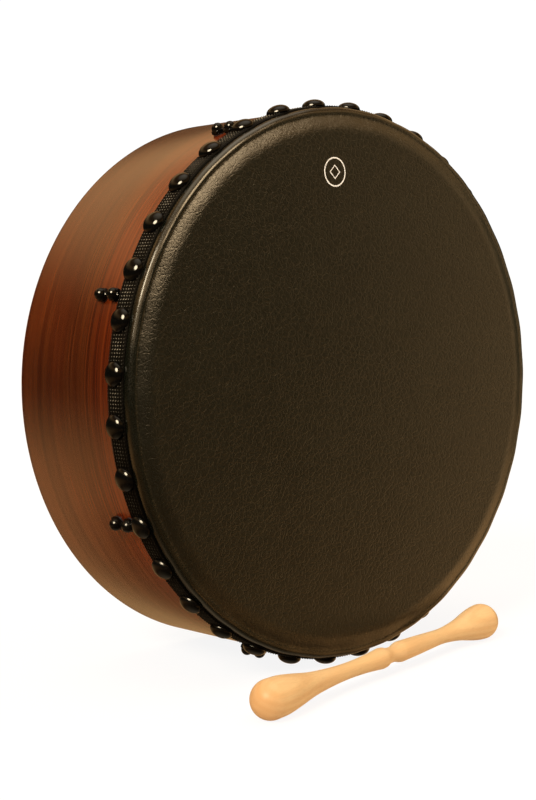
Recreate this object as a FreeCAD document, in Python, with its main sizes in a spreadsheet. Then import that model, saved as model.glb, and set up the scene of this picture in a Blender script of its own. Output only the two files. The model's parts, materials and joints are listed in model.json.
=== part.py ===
"""A tunable frame drum (bodhran), 14 inch by 4.5 inch, with its double-ended tipper.

The drum is modelled about its own axis: Y runs through the drum, 0 at the front rim of the
shell and growing towards the open back, and X and Z are radial. It is then stood on its rim,
leaning back on two tack heads and the rear edge of the shell. Lengths are in millimetres.
"""

import FreeCAD
import Part
import math
import os
import re

import Sketcher

Vector = FreeCAD.Vector
Y_AXIS = Vector(0, 1, 0)
X_AXIS = Vector(1, 0, 0)
Z_AXIS = Vector(0, 0, 1)

# alias, value and what it is
SIZES = [
    ("shell_radius", 177.8, "outside of the wooden hoop"),
    ("shell_depth", 114.3, "front rim to rear rim"),
    ("shell_wall", 7.0, "thickness of the hoop"),
    ("bearing_round", 2.5, "rounding of the outer front edge, under the head"),
    ("edge_round", 1.5, "rounding of the other edges of the hoop"),
    ("film", 0.8, "thickness of the synthetic head"),
    ("head_rise", 3.0, "how far the tuning ring lifts the head past the rim"),
    ("skirt_end", 18.8, "rear edge of the head, under the webbing"),
    ("webbing_front", 4.1, "front edge of the webbing"),
    ("webbing_width", 15.2, "width of the webbing"),
    ("webbing_thick", 1.6, "thickness of the webbing"),
    ("tack_count", 36, "tacks round the rim"),
    ("tack_phase", 5.0, "angle of the first tack above the X axis"),
    ("tack_back", 11.7, "tack centres behind the front rim"),
    ("tack_radius", 7.6, "radius of a tack's domed head"),
    ("tack_dome", 4.6, "height of a tack's domed head"),
    ("tack_sink", 0.2, "how far a head is pressed into the webbing"),
    ("nail_radius", 0.9, "radius of a tack's nail"),
    ("nail_length", 7.5, "length of a tack's nail"),
    ("station_count", 8, "tuning stations round the shell"),
    ("station_phase", 25.0, "angle of the first station above the X axis"),
    ("ring_radius", 166.0, "outside of the tuning ring"),
    ("ring_width", 11.0, "radial width of the tuning ring"),
    ("ring_depth", 12.0, "depth of the tuning ring along the axis"),
    ("ring_round", 1.5, "rounding of the tuning ring's edges"),
    ("plate_front", 15.8, "front edge of a bracket's plate"),
    ("plate_length", 27.4, "length of a bracket's plate along the axis"),
    ("plate_thick", 3.0, "thickness of a bracket's plate"),
    ("plate_angle", 6.0, "angle that a bracket's plate spans on the shell"),
    ("arm_front", 28.0, "front face of a bracket's arm"),
    ("arm_thick", 3.0, "thickness of a bracket's arm"),
    ("arm_width", 11.0, "width of a bracket's arm"),
    ("arm_tip", 153.4, "radius of the arm's inner end"),
    ("boss_radius", 5.2, "radius of the threaded boss on the arm"),
    ("boss_front", 23.5, "front face of the boss"),
    ("boss_length", 12.0, "length of the boss"),
    ("bolt_circle", 159.0, "radius at which the tuning bolts stand"),
    ("bolt_radius", 3.0, "M6 tuning bolt"),
    ("bolt_length", 45.0, "tuning bolt under its head"),
    ("bolt_head_radius", 5.0, "head of the tuning bolt"),
    ("bolt_head_length", 6.0, "head of the tuning bolt"),
    ("bolt_tip", 1.0, "chamfer at the tip of the tuning bolt"),
    ("key_radius", 2.9, "corner radius of the hexagon socket, 5 across flats"),
    ("key_depth", 3.5, "depth of the hexagon socket"),
    ("run_gap", 0.05, "radial clearance of a screw in its thread"),
    ("screw_front", 23.45, "front row of bracket screws"),
    ("screw_spacing", 12.1, "front row to rear row of bracket screws"),
    ("screw_radius", 2.5, "M5 bracket screw"),
    ("screw_length", 14.0, "bracket screw under its head"),
    ("screw_head_radius", 4.25, "low round head of a bracket screw"),
    ("screw_head_height", 2.8, "low round head of a bracket screw"),
    ("hole_radius", 2.7, "clearance hole for a bracket screw"),
    ("washer_radius", 3.95, "outside of a washer"),
    ("washer_thick", 0.8, "thickness of a washer"),
    ("nut_corner", 4.62, "corner radius of a cap nut, 8 across flats"),
    ("nut_hexagon", 2.5, "height of a cap nut's hexagon"),
    ("dome_radius", 3.9, "dome of a cap nut"),
    ("dome_height", 3.9, "dome of a cap nut above the hexagon"),
    ("nut_bore", 3.8, "depth of a cap nut's threaded hole"),
    ("tipper_length", 264.5, "end to end"),
    ("tipper_ball", 12.3, "radius of the tipper's ends"),
    ("tipper_neck", 5.4, "radius of its necks"),
    ("tipper_swell", 6.9, "radius beside its waist groove"),
    ("tipper_groove", 5.2, "radius in its waist groove"),
    ("tipper_waist", 138.5, "waist groove from the left end"),
    ("tipper_turn", 10.2, "angle of the tipper to the drum's face"),
    ("tipper_right", -3.8, "middle of the tipper to the right of the drum's middle"),
    ("tipper_ahead", 43.0, "middle of the tipper ahead of the shell's front rim"),
]

doc = FreeCAD.newDocument("bodhran")
sheet = doc.addObject("Spreadsheet::Sheet", "sizes")


def fill_sheet():
    """Writes each driving dimension with its alias and its meaning."""
    for row, (alias, number, note) in enumerate(SIZES, start=1):
        sheet.set(f"A{row}", note)
        sheet.set(f"B{row}", str(number))
        sheet.setAlias(f"B{row}", alias)
    doc.recompute()


def bound(text):
    """The expression for a sum of aliases, with the sheet's name before each alias."""
    return re.sub(r"[a-z_]+", r"sizes.\g<0>", text)


def value(text):
    """The number that a sum of aliases stands for."""
    return float(sheet.evalExpression(bound(text)))


def turn(axis, degrees):
    """A placement that turns about an axis through the origin."""
    return FreeCAD.Placement(Vector(0, 0, 0), FreeCAD.Rotation(axis, degrees))


def shift(x, y, z):
    """A placement that only moves."""
    return FreeCAD.Placement(Vector(x, y, z), FreeCAD.Rotation())


def new_body(label):
    """An empty PartDesign body."""
    body = doc.addObject("PartDesign::Body", label)
    body.Label = label
    return body


def origin_item(body, role):
    """One of the body's origin planes or axes."""
    return [item for item in body.Origin.OriginFeatures if item.Role == role][0]


def new_sketch(body, name, plane="XY_Plane", offset=None):
    """A sketch on one of the body's origin planes, moved by offset along its normal."""
    sketch = body.newObject("Sketcher::SketchObject", name)
    sketch.AttachmentSupport = [(origin_item(body, plane), "")]
    sketch.MapMode = "FlatFace"
    if offset:
        sketch.setExpression(".AttachmentOffset.Base.z", bound(offset))
    return sketch


def bind(sketch, constraint, expression):
    """Adds a dimension to a sketch and ties it to the sheet."""
    index = sketch.addConstraint(constraint)
    name = f"size_{index}"
    sketch.renameConstraint(index, name)
    sketch.setExpression(f"Constraints.{name}", bound(expression))


def pin_point(sketch, geometry, end, x_text, y_text):
    """Holds one end of a line or arc at a place given by the sheet."""
    for kind, axis, text in (("DistanceX", -2, x_text), ("DistanceY", -1, y_text)):
        number = value(text)
        if abs(number) < 1e-9:
            sketch.addConstraint(Sketcher.Constraint("PointOnObject", geometry, end, axis))
        else:
            bind(sketch, Sketcher.Constraint(kind, -1, 1, geometry, end, number), text)


def draw_outline(sketch, corners):
    """Draws a closed outline. A corner is (x, y), or (x, y, radius, side) where the stretch to
    the next corner is an arc of that radius, bulging to the left (1) or the right (-1)."""
    places = [Vector(value(corner[0]), value(corner[1]), 0) for corner in corners]
    ends = []
    for index, corner in enumerate(corners):
        start = places[index]
        finish = places[(index + 1) % len(corners)]
        if len(corner) == 2:
            number = sketch.addGeometry(Part.LineSegment(start, finish))
            first, last = 1, 2
        else:
            number, first, last = draw_arc(sketch, start, finish, value(corner[2]), corner[3])
            bind(sketch, Sketcher.Constraint("Radius", number, value(corner[2])), corner[2])
        pin_point(sketch, number, first, corner[0], corner[1])
        ends.append((number, first, last))
    for index, (number, _, last) in enumerate(ends):
        following, first, _ = ends[(index + 1) % len(ends)]
        sketch.addConstraint(Sketcher.Constraint("Coincident", number, last, following, first))


def draw_arc(sketch, start, finish, radius, side):
    """Adds an arc from start to finish, and tells which of its ends is which."""
    chord = finish - start
    left = Vector(-chord.y, chord.x, 0)
    left.normalize()
    rise = math.sqrt(radius ** 2 - (chord.Length / 2) ** 2)
    middle = (start + finish) * 0.5 - left * (side * rise)
    from_angle = math.atan2(start.y - middle.y, start.x - middle.x)
    to_angle = math.atan2(finish.y - middle.y, finish.x - middle.x)
    circle = Part.Circle(middle, Z_AXIS, radius)
    if side > 0:
        number = sketch.addGeometry(Part.ArcOfCircle(circle, to_angle, from_angle))
        return number, 2, 1
    number = sketch.addGeometry(Part.ArcOfCircle(circle, from_angle, to_angle))
    return number, 1, 2


def draw_circle(sketch, x_text, y_text, radius_text):
    """Draws a circle at a place given by the sheet."""
    centre = Vector(value(x_text), value(y_text), 0)
    circle = Part.Circle(centre, Z_AXIS, value(radius_text))
    number = sketch.addGeometry(circle)
    bind(sketch, Sketcher.Constraint("Radius", number, circle.Radius), radius_text)
    pin_point(sketch, number, 3, x_text, y_text)


def draw_axis(sketch, corner_a, corner_b):
    """Adds the construction line that a profile is turned about."""
    places = [Vector(value(x), value(y), 0) for x, y in (corner_a, corner_b)]
    number = sketch.addGeometry(Part.LineSegment(*places), True)
    pin_point(sketch, number, 1, *corner_a)
    pin_point(sketch, number, 2, *corner_b)


def revolve(body, sketch, name, axis="V_Axis", kind="PartDesign::Revolution", angle=None):
    """Turns a sketch about one of its axes, all the way round or through a centred angle."""
    feature = body.newObject(kind, name)
    feature.Profile = sketch
    feature.ReferenceAxis = (sketch, [axis])
    feature.Angle = 360
    if angle:
        feature.Midplane = True
        feature.setExpression("Angle", bound(angle))
    body.Tip = feature
    return feature


def round_edges(body, name, radius_text, circles):
    """Rounds the circular edges about the Y axis with the given radius and place."""
    doc.recompute()
    base = body.Tip
    wanted = [(value(radius), value(place)) for radius, place in circles]
    names = []
    for index, edge in enumerate(base.Shape.Edges, start=1):
        if edge.Curve.TypeId != "Part::GeomCircle":
            continue
        for radius, place in wanted:
            same = abs(edge.Curve.Radius - radius) < 1e-4
            if same and abs(edge.Curve.Center.y - place) < 1e-4:
                names.append(f"Edge{index}")
    feature = body.newObject("PartDesign::Fillet", name)
    feature.Base = (base, names)
    feature.setExpression("Radius", bound(radius_text))
    body.Tip = feature


def cut_screw_holes(body, name):
    """Cuts the two bracket screw holes of one station, outwards along +X."""
    sketch = new_sketch(body, name + "_sketch", "YZ_Plane")
    for place in ("screw_front", "screw_front + screw_spacing"):
        draw_circle(sketch, place, "0 * screw_front", "hole_radius")
    pocket = body.newObject("PartDesign::Pocket", name)
    pocket.Profile = sketch
    pocket.Type = "ThroughAll"
    pocket.Reversed = True
    body.Tip = pocket
    return pocket


def make_shell():
    """The bent hardwood hoop with its eight pairs of screw holes."""
    body = new_body("shell")
    sketch = new_sketch(body, "shell_sketch")
    inner = "shell_radius - shell_wall"
    zero = "0 * shell_radius"
    draw_outline(sketch, [(inner, zero), ("shell_radius", zero),
                          ("shell_radius", "shell_depth"), (inner, "shell_depth")])
    revolve(body, sketch, "shell_hoop")
    round_edges(body, "shell_bearing_edge", "bearing_round", [("shell_radius", zero)])
    round_edges(body, "shell_edges", "edge_round",
                [(inner, zero), ("shell_radius", "shell_depth"), (inner, "shell_depth")])
    pocket = cut_screw_holes(body, "shell_holes")
    pattern = body.newObject("PartDesign::PolarPattern", "shell_hole_pattern")
    pattern.Originals = [pocket]
    pattern.Axis = (origin_item(body, "Y_Axis"), [""])
    pattern.Angle = 360
    pattern.setExpression("Occurrences", bound("station_count"))
    body.Tip = pattern
    return body


def make_drumhead():
    """The head: flat face, bevel down to the rim, fold over the rim and skirt on the shell."""
    body = new_body("drumhead")
    sketch = new_sketch(body, "drumhead_sketch")
    zero = "0 * film"
    fold = "shell_radius - bearing_round"
    draw_outline(sketch, [
        (zero, "0 - head_rise"),
        (zero, "0 - head_rise - film"),
        ("ring_radius - ring_round / 2", "0 - head_rise - film"),
        (fold, "0 - film", "bearing_round + film", -1),
        ("shell_radius + film", "bearing_round"),
        ("shell_radius + film", "skirt_end"),
        ("shell_radius", "skirt_end"),
        ("shell_radius", "bearing_round", "bearing_round", 1),
        (fold, zero),
        ("ring_radius - ring_round / 2", "0 - head_rise"),
    ])
    revolve(body, sketch, "drumhead_skin")
    return body


def make_webbing():
    """The woven band that the tacks hold round the edge of the head."""
    body = new_body("webbing")
    sketch = new_sketch(body, "webbing_sketch")
    inner = "shell_radius + film"
    outer = "shell_radius + film + webbing_thick"
    rear = "webbing_front + webbing_width"
    draw_outline(sketch, [(inner, "webbing_front"), (outer, "webbing_front"),
                          (outer, rear), (inner, rear)])
    revolve(body, sketch, "webbing_band")
    return body


def make_tuning_ring():
    """The inner ring that presses the head forwards."""
    body = new_body("tuning_ring")
    sketch = new_sketch(body, "ring_sketch")
    inner = "ring_radius - ring_width"
    front = "0 - head_rise"
    rear = "ring_depth - head_rise"
    draw_outline(sketch, [(inner, front), ("ring_radius", front),
                          ("ring_radius", rear), (inner, rear)])
    revolve(body, sketch, "ring_hoop")
    edges = [(radius, place) for radius in (inner, "ring_radius") for place in (front, rear)]
    round_edges(body, "ring_edges", "ring_round", edges)
    return body


def make_bracket(number):
    """A steel bracket inside the shell: curved plate, arm and threaded boss."""
    body = new_body(f"tuning_bracket_{number}")
    name = f"bracket_{number}"
    inner = "shell_radius - shell_wall"
    plate_rear = "plate_front + plate_length"
    arm_rear = "arm_front + arm_thick"
    boss_rear = "boss_front + boss_length"

    plate = new_sketch(body, name + "_plate_sketch")
    draw_outline(plate, [(inner + " - plate_thick", "plate_front"), (inner, "plate_front"),
                         (inner, plate_rear), (inner + " - plate_thick", plate_rear)])
    revolve(body, plate, name + "_plate", angle="plate_angle")

    arm = new_sketch(body, name + "_arm_sketch")
    root = inner + " - plate_thick / 2"
    draw_outline(arm, [("arm_tip", "arm_front"), (root, "arm_front"),
                       (root, arm_rear), ("arm_tip", arm_rear)])
    pad = body.newObject("PartDesign::Pad", name + "_arm")
    pad.Profile = arm
    pad.Midplane = True
    pad.setExpression("Length", bound("arm_width"))
    body.Tip = pad

    turned = [("Revolution", "boss", "boss_radius"), ("Groove", "thread", "bolt_radius + run_gap")]
    for kind, part, radius in turned:
        sketch = new_sketch(body, f"{name}_{part}_sketch")
        edge = "bolt_circle + " + radius
        draw_outline(sketch, [("bolt_circle", "boss_front"), (edge, "boss_front"),
                              (edge, boss_rear), ("bolt_circle", boss_rear)])
        draw_axis(sketch, ("bolt_circle", "boss_front"), ("bolt_circle", boss_rear))
        revolve(body, sketch, f"{name}_{part}", "Axis0", "PartDesign::" + kind)
    cut_screw_holes(body, name + "_holes")
    return body


def make_tuning_bolt(number):
    """A socket-head bolt that pushes on the back of the tuning ring."""
    body = new_body(f"tuning_bolt_{number}")
    name = f"bolt_{number}"
    tip = "ring_depth - head_rise"
    seat = tip + " + bolt_length"
    end = seat + " + bolt_head_length"
    shank = "bolt_circle + bolt_radius"
    head = "bolt_circle + bolt_head_radius"
    sketch = new_sketch(body, name + "_sketch")
    draw_outline(sketch, [("bolt_circle", tip), (shank + " - bolt_tip", tip),
                          (shank, tip + " + bolt_tip"), (shank, seat),
                          (head, seat), (head, end), ("bolt_circle", end)])
    draw_axis(sketch, ("bolt_circle", tip), ("bolt_circle", end))
    revolve(body, sketch, name + "_turned", "Axis0")
    doc.recompute()
    socket = body.newObject("PartDesign::SubtractivePrism", name + "_socket")
    socket.Polygon = 6
    socket.setExpression("Circumradius", bound("key_radius"))
    socket.setExpression("Height", bound("key_depth"))
    socket.AttachmentSupport = [(origin_item(body, "XZ_Plane"), "")]
    socket.MapMode = "FlatFace"
    socket.setExpression(".AttachmentOffset.Base.x", bound("bolt_circle"))
    socket.setExpression(".AttachmentOffset.Base.z", "-(" + bound(end) + ")")
    body.Tip = socket
    return body


def make_tack():
    """One tack along +X: a domed head whose seat is at 0 and a nail behind it."""
    body = new_body("tack_pattern")
    sketch = new_sketch(body, "tack_sketch")
    zero = "0 * tack_dome"
    round_radius = "(tack_radius * tack_radius + tack_dome * tack_dome) / 2 / tack_dome"
    draw_outline(sketch, [
        ("tack_dome", zero, round_radius, -1),
        (zero, "tack_radius"),
        (zero, "nail_radius"),
        ("0 - nail_length", "nail_radius"),
        ("0 - nail_length - nail_radius * 2", zero),
    ])
    revolve(body, sketch, "tack_turned", "H_Axis")
    return body


def make_bracket_screw():
    """One bracket screw along +X: its head's seat is at 0 and its shank runs outwards."""
    body = new_body("screw_pattern")
    sketch = new_sketch(body, "screw_sketch")
    zero = "0 * screw_radius"
    draw_outline(sketch, [
        ("0 - screw_head_height", zero),
        ("screw_length", zero),
        ("screw_length", "screw_radius"),
        (zero, "screw_radius"),
        (zero, "screw_head_radius"),
        ("0 - screw_head_height / 2", "screw_head_radius"),
        ("0 - screw_head_height", "screw_head_radius / 2"),
    ])
    revolve(body, sketch, "screw_turned", "H_Axis")
    return body


def make_washer():
    """One washer along +X with its inner face at 0."""
    body = new_body("washer_pattern")
    sketch = new_sketch(body, "washer_sketch")
    zero = "0 * washer_thick"
    draw_outline(sketch, [(zero, "hole_radius"), ("washer_thick", "hole_radius"),
                          ("washer_thick", "washer_radius"), (zero, "washer_radius")])
    revolve(body, sketch, "washer_turned", "H_Axis")
    return body


def make_cap_nut():
    """One domed cap nut along +X: hexagon, dome and blind threaded hole."""
    body = new_body("nut_pattern")
    hexagon = body.newObject("PartDesign::AdditivePrism", "nut_hexagon_prism")
    hexagon.Polygon = 6
    hexagon.setExpression("Circumradius", bound("nut_corner"))
    hexagon.setExpression("Height", bound("nut_hexagon"))
    hexagon.AttachmentSupport = [(origin_item(body, "YZ_Plane"), "")]
    hexagon.MapMode = "FlatFace"
    hexagon.AttachmentOffset = turn(Z_AXIS, 30)
    body.Tip = hexagon
    doc.recompute()

    dome = new_sketch(body, "nut_dome_sketch")
    zero = "0 * nut_hexagon"
    shoulder = "nut_hexagon + dome_height - dome_radius"
    draw_outline(dome, [
        ("nut_hexagon / 2", zero),
        ("nut_hexagon + dome_height", zero, "dome_radius", -1),
        (shoulder, "dome_radius"),
        ("nut_hexagon / 2", "dome_radius"),
    ])
    revolve(body, dome, "nut_dome", "H_Axis")

    bore = new_sketch(body, "nut_bore_sketch")
    draw_outline(bore, [(zero, zero), ("nut_bore", zero), ("nut_bore", "screw_radius + run_gap"),
                        (zero, "screw_radius + run_gap")])
    revolve(body, bore, "nut_thread", "H_Axis", "PartDesign::Groove")
    return body


def make_group(label, pattern, places):
    """One node of identical solids: a link to the pattern piece at each place."""
    links = []
    for number, place in enumerate(places, start=1):
        link = doc.addObject("App::Link", f"{label}_{number}")
        link.LinkedObject = pattern
        link.Placement = place
        links.append(link)
    group = doc.addObject("Part::Compound", label)
    group.Label = label
    group.Links = links
    return group


def tack_places():
    """Where the tacks stand: evenly round the webbing."""
    count = int(value("tack_count"))
    seat = shift(value("shell_radius + film + webbing_thick - tack_sink"), value("tack_back"), 0)
    return [turn(Y_AXIS, -value("tack_phase") - 360 * step / count) * seat for step in range(count)]


def station_turns():
    """The turn about the drum's axis that brings +X to each tuning station."""
    count = int(value("station_count"))
    return [turn(Y_AXIS, -value("station_phase") - 360 * step / count) for step in range(count)]


def screw_places(radius):
    """Two places a station, front row and rear row, at the given radius."""
    rows = [value("screw_front"), value("screw_front + screw_spacing")]
    return [spin * shift(radius, row, 0) for spin in station_turns() for row in rows]


def make_tipper():
    """The double-ended beater, turned from one stick, along X with its left end at 0."""
    length, waist = value("tipper_length"), value("tipper_waist")
    ball, neck = value("tipper_ball"), value("tipper_neck")
    swell, groove = value("tipper_swell"), value("tipper_groove")
    left = [(ball, ball), (2.1 * ball, 0.95 * ball), (4.1 * ball, 0.62 * ball)]
    left += [(waist - 50, neck), (waist - 30, 0.5 * (swell + neck)), (waist - 12, swell)]
    right = [(waist + 10, swell), (waist + 31, 0.6 * swell + 0.4 * neck), (waist + 60, neck)]
    right += [(length - 3.5 * ball, 0.6 * ball), (length - 2.05 * ball, 0.88 * ball)]
    right += [(length - ball, ball)]
    waist_ends = [Vector(left[-1][0], 0, swell), Vector(right[0][0], 0, swell)]
    edges = [
        end_arc(0, ball, 1),
        side_curve(left, 0),
        Part.Arc(waist_ends[0], Vector(waist - 1, 0, groove), waist_ends[1]).toShape(),
        side_curve(right, -1),
        end_arc(length, ball, -1),
        Part.LineSegment(Vector(length, 0, 0), Vector(0, 0, 0)).toShape(),
    ]
    face = Part.Face(Part.Wire(edges))
    feature = doc.addObject("Part::Feature", "tipper")
    feature.Label = "tipper"
    feature.Shape = face.revolve(Vector(0, 0, 0), X_AXIS, 360)
    return feature


def end_arc(tip, ball, side):
    """A quarter circle from the stick's tip to the widest part of its ball, or back."""
    widest = Vector(tip + side * ball, 0, ball)
    middle = Vector(tip + side * ball * (1 - math.sqrt(0.5)), 0, ball * math.sqrt(0.5))
    ends = [Vector(tip, 0, 0), middle, widest]
    if side < 0:
        ends.reverse()
    return Part.Arc(*ends).toShape()


def side_curve(points, level_end):
    """A smooth curve along the stick's side, level where it meets the ball."""
    curve = Part.BSplineCurve()
    places = [Vector(x, 0, radius) for x, radius in points]
    tangents = [Vector(0, 0, 0)] * len(places)
    used = [False] * len(places)
    tangents[level_end] = Vector(1, 0, 0)
    used[level_end] = True
    curve.interpolate(Points=places, Tangents=tangents, TangentFlags=used)
    return curve.toShape()


def build_drum():
    """Every piece of the drum, about its own axis."""
    pieces = [make_shell(), make_drumhead(), make_webbing(), make_tuning_ring()]
    plate_face = value("shell_radius - shell_wall - plate_thick")
    head_seat = math.sqrt(plate_face ** 2 - value("screw_head_radius") ** 2)
    washer_seat = value("shell_radius")
    nut_seat = washer_seat + value("washer_thick")
    pieces.append(make_group("tacks", make_tack(), tack_places()))
    pieces.append(make_group("bracket_screws", make_bracket_screw(), screw_places(head_seat)))
    pieces.append(make_group("washers", make_washer(), screw_places(washer_seat)))
    pieces.append(make_group("cap_nuts", make_cap_nut(), screw_places(nut_seat)))
    for number, spin in enumerate(station_turns(), start=1):
        for piece in (make_bracket(number), make_tuning_bolt(number)):
            piece.Placement = spin
            pieces.append(piece)
    pieces[0].Placement = station_turns()[0]
    return pieces


def lean_angle():
    """How far the drum leans back on its rear edge, because the tack heads hold its front up."""
    tack_tip = value("shell_radius + film + webbing_thick - tack_sink + tack_dome")
    lift = tack_tip * math.cos(math.radians(value("tack_phase"))) - value("shell_radius")
    return math.degrees(math.atan2(lift, value("shell_depth - tack_back")))


def box_of(pieces):
    """The exact box round a list of pieces."""
    box = FreeCAD.BoundBox()
    for piece in pieces:
        box.add(piece.Shape.optimalBoundingBox(False))
    return box


def place_all(drum, tipper):
    """Stands the drum on z = 0, lays the tipper before it and centres both on the origin."""
    lean = turn(X_AXIS, -lean_angle())
    for piece in drum:
        piece.Placement = lean * piece.Placement
    doc.recompute()
    height = -box_of(drum).ZMin
    tipper.Placement = (shift(value("tipper_right"), -value("tipper_ahead"), value("tipper_ball"))
                        * turn(Z_AXIS, value("tipper_turn")) * shift(-value("tipper_length") / 2, 0, 0))
    for piece in drum:
        piece.Placement = shift(0, 0, height) * piece.Placement
    doc.recompute()
    box = box_of(drum + [tipper])
    for piece in drum + [tipper]:
        piece.Placement = shift(-box.Center.x, -box.Center.y, -box.ZMin) * piece.Placement
    doc.recompute()
    print("lean", round(lean_angle(), 4), "drum raised", round(height, 4))
    print("moved by", [round(-number, 4) for number in (box.Center.x, box.Center.y, box.ZMin)])
    print("box", [round(number, 3) for number in (box.XLength, box.YLength, box.ZLength)])


def check_and_write(pieces):
    """Stops on any failed object or bad shape, then writes one STEP file a piece."""
    for item in doc.Objects:
        bad = {"Invalid", "Error"} & set(item.State)
        if bad:
            raise RuntimeError(f"{item.Name} is {item.State}")
    for piece in pieces:
        if piece.Shape.isNull() or not piece.Shape.isValid():
            raise RuntimeError(f"{piece.Label} has no valid shape")
    os.makedirs("parts", exist_ok=True)
    for piece in pieces:
        piece.Shape.exportStep(f"parts/{piece.Label}.step")
        print(f"{piece.Label}: {len(piece.Shape.Solids)} solids, {piece.Shape.Volume / 1000:.2f} cm3")


fill_sheet()
drum_pieces = build_drum()
tipper_piece = make_tipper()
doc.recompute()
place_all(drum_pieces, tipper_piece)
check_and_write(drum_pieces + [tipper_piece])
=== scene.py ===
"""Looks of a tunable bodhran and its tipper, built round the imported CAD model.

The drum's pieces are made about the drum's own axis, in millimetres: Y runs through the drum, 0 at
the front rim of the shell and growing towards the open back, and angles go from X towards Z.
DRUM_PLACE then stands them where the CAD model stands. Sizes are the CAD model's own, or belong to
details that it leaves out. Only the head differs: its bevel starts further in, and its bead is a
little rounder.
"""
import json
import math

import bpy
import numpy as np
from mathutils import Matrix, Vector


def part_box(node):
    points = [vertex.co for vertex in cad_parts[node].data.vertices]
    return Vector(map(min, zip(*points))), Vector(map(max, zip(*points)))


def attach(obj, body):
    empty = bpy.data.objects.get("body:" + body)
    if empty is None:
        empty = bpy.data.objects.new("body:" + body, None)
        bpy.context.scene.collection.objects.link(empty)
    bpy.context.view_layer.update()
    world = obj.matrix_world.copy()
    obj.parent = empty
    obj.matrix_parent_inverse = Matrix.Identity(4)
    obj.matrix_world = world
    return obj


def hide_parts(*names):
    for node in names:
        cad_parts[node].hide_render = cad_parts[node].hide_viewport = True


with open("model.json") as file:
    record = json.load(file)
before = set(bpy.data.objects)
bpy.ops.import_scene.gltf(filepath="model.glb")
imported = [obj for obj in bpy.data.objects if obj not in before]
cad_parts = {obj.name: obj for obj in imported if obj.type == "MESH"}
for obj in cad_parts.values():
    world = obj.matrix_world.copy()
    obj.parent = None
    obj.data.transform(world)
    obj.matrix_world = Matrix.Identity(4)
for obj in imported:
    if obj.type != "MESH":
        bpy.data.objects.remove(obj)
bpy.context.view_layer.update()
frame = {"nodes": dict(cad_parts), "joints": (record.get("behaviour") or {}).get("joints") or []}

MM = 0.001
TURN = 2 * math.pi

# Shell
SHELL_RADIUS = 177.8
SHELL_DEPTH = 114.3
SHELL_WALL = 7.0
EDGE_ROUND = 1.5
BEARING_ROUND = 2.5
CORNER_STEPS = 4

# Head: its film, its bead over the shell's rim, and the bevel between face and bead
FILM = 0.8
FILM_GAP = 0.02
HEAD_RISE = 3.0
SKIRT_END = 18.8
BEAD_ROUND = 3.6
BEAD_PLACE = 2.2
BEAD_START = -110
BEVEL_START = 163.0
BEVEL_CURVE = 1.7
BEVEL_SHORT = 0.5
FACE_END = BEVEL_START - 2
TACK_PULL = 0.10
SKIN_WAVE = 0.05

# The groove beside the bead is open over one arc, in degrees, and filled outside it
GROOVE_RADIUS = 173.5
GROOVE_WIDTH = 0.9
GROOVE_FILL = 0.22
GROOVE_MIDDLE = 147
GROOVE_HALF_ARC = 22
GROOVE_FADE = 20

# Webbing and its weave
WEBBING_FRONT = 4.1
WEBBING_WIDTH = 15.2
WEBBING_THICK = 1.6
WEBBING_INSET = 0.15
WEBBING_GAP = 0.03
EDGE_DROP = 0.3
WEAVE_ROWS = 530
WEAVE_COLUMNS = 6
WEAVE_HEIGHT = 0.8
WEAVE_FLOOR = SHELL_RADIUS + FILM + WEBBING_THICK - WEAVE_HEIGHT
ROW_STEPS = 4
COLUMN_STEPS = 7

# Tuning ring, stations and fasteners
RING_RADIUS = 166.0
RING_WIDTH = 11.0
RING_DEPTH = 12.0
STATIONS = 8
STATION_PHASE = 25.0
SCREW_ROWS = (23.45, 35.55)
WASHER_THICK = 0.8
NUT_CORNER = 4.62
NUT_HEXAGON = 2.5
NUT_DOME = 3.9
TACKS = 36
TACK_PHASE = 5.0
TACK_BACK = 11.7
TACK_RADIUS = 7.6
TACK_DOME = 4.6
TACK_SINK = 0.2
NAIL_RADIUS = 0.9
NAIL_LENGTH = 7.5
NAIL_TIP = 9.3

# How far chance spreads the tacks' tilt (degrees) and place, and the nuts' turn (degrees)
SEED = 14
TACK_TILT = 1.6
TACK_SLIP = 0.22
NUT_SPIN = 3

# Tipper
TIPPER_LENGTH = 264.5
TIPPER_BALL = 12.3
TIPPER_TURN = 10.2

# Camera, told from the middle of the shell's front rim
CAMERA_PLACE = (-716.5, -721.6, 104.9)
CAMERA_AZIMUTH = -41.84
CAMERA_HEIGHT = 6.53
CAMERA_ROLL = 1.04
CAMERA_LENS = 70.47
CAMERA_SENSOR = 36

# Lamps: colours, and the direction that the key and the glints come from
WHITE = (1.0, 0.98, 0.93)
PEACH = (1.0, 0.88, 0.72)
SAND = (1.0, 0.90, 0.76)
AMBER = (1.0, 0.68, 0.37)
KEY_FROM = (-72, 37)

# The backdrop, and the room that lights the drum: colours from straight below (0) to above (1)
BACKDROP_POWER = 1.05
ROOM_POWER = 1.5
ROOM_DARK = (0.024, 0.029, 0.017)
ROOM = ((0.0, (0.95, 0.80, 0.58)), (0.06, (0.60, 0.46, 0.30)), (0.17, (0.16, 0.07, 0.02)),
        (0.255, (0.80, 0.46, 0.19)), (0.33, (0.84, 0.48, 0.20)), (0.445, ROOM_DARK),
        (0.63, ROOM_DARK), (0.72, (0.70, 0.44, 0.20)), (0.76, (0.78, 0.50, 0.235)),
        (0.83, (0.20, 0.095, 0.03)), (0.90, (0.28, 0.17, 0.08)), (1.0, (1.70, 1.62, 1.50)))

# The warm tone of every reflection, as under warm studio lamps
WARM = (1.0, 0.84, 0.60, 1.0)

random = np.random.default_rng(SEED)


# ---------------------------------------------------------------- places

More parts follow.
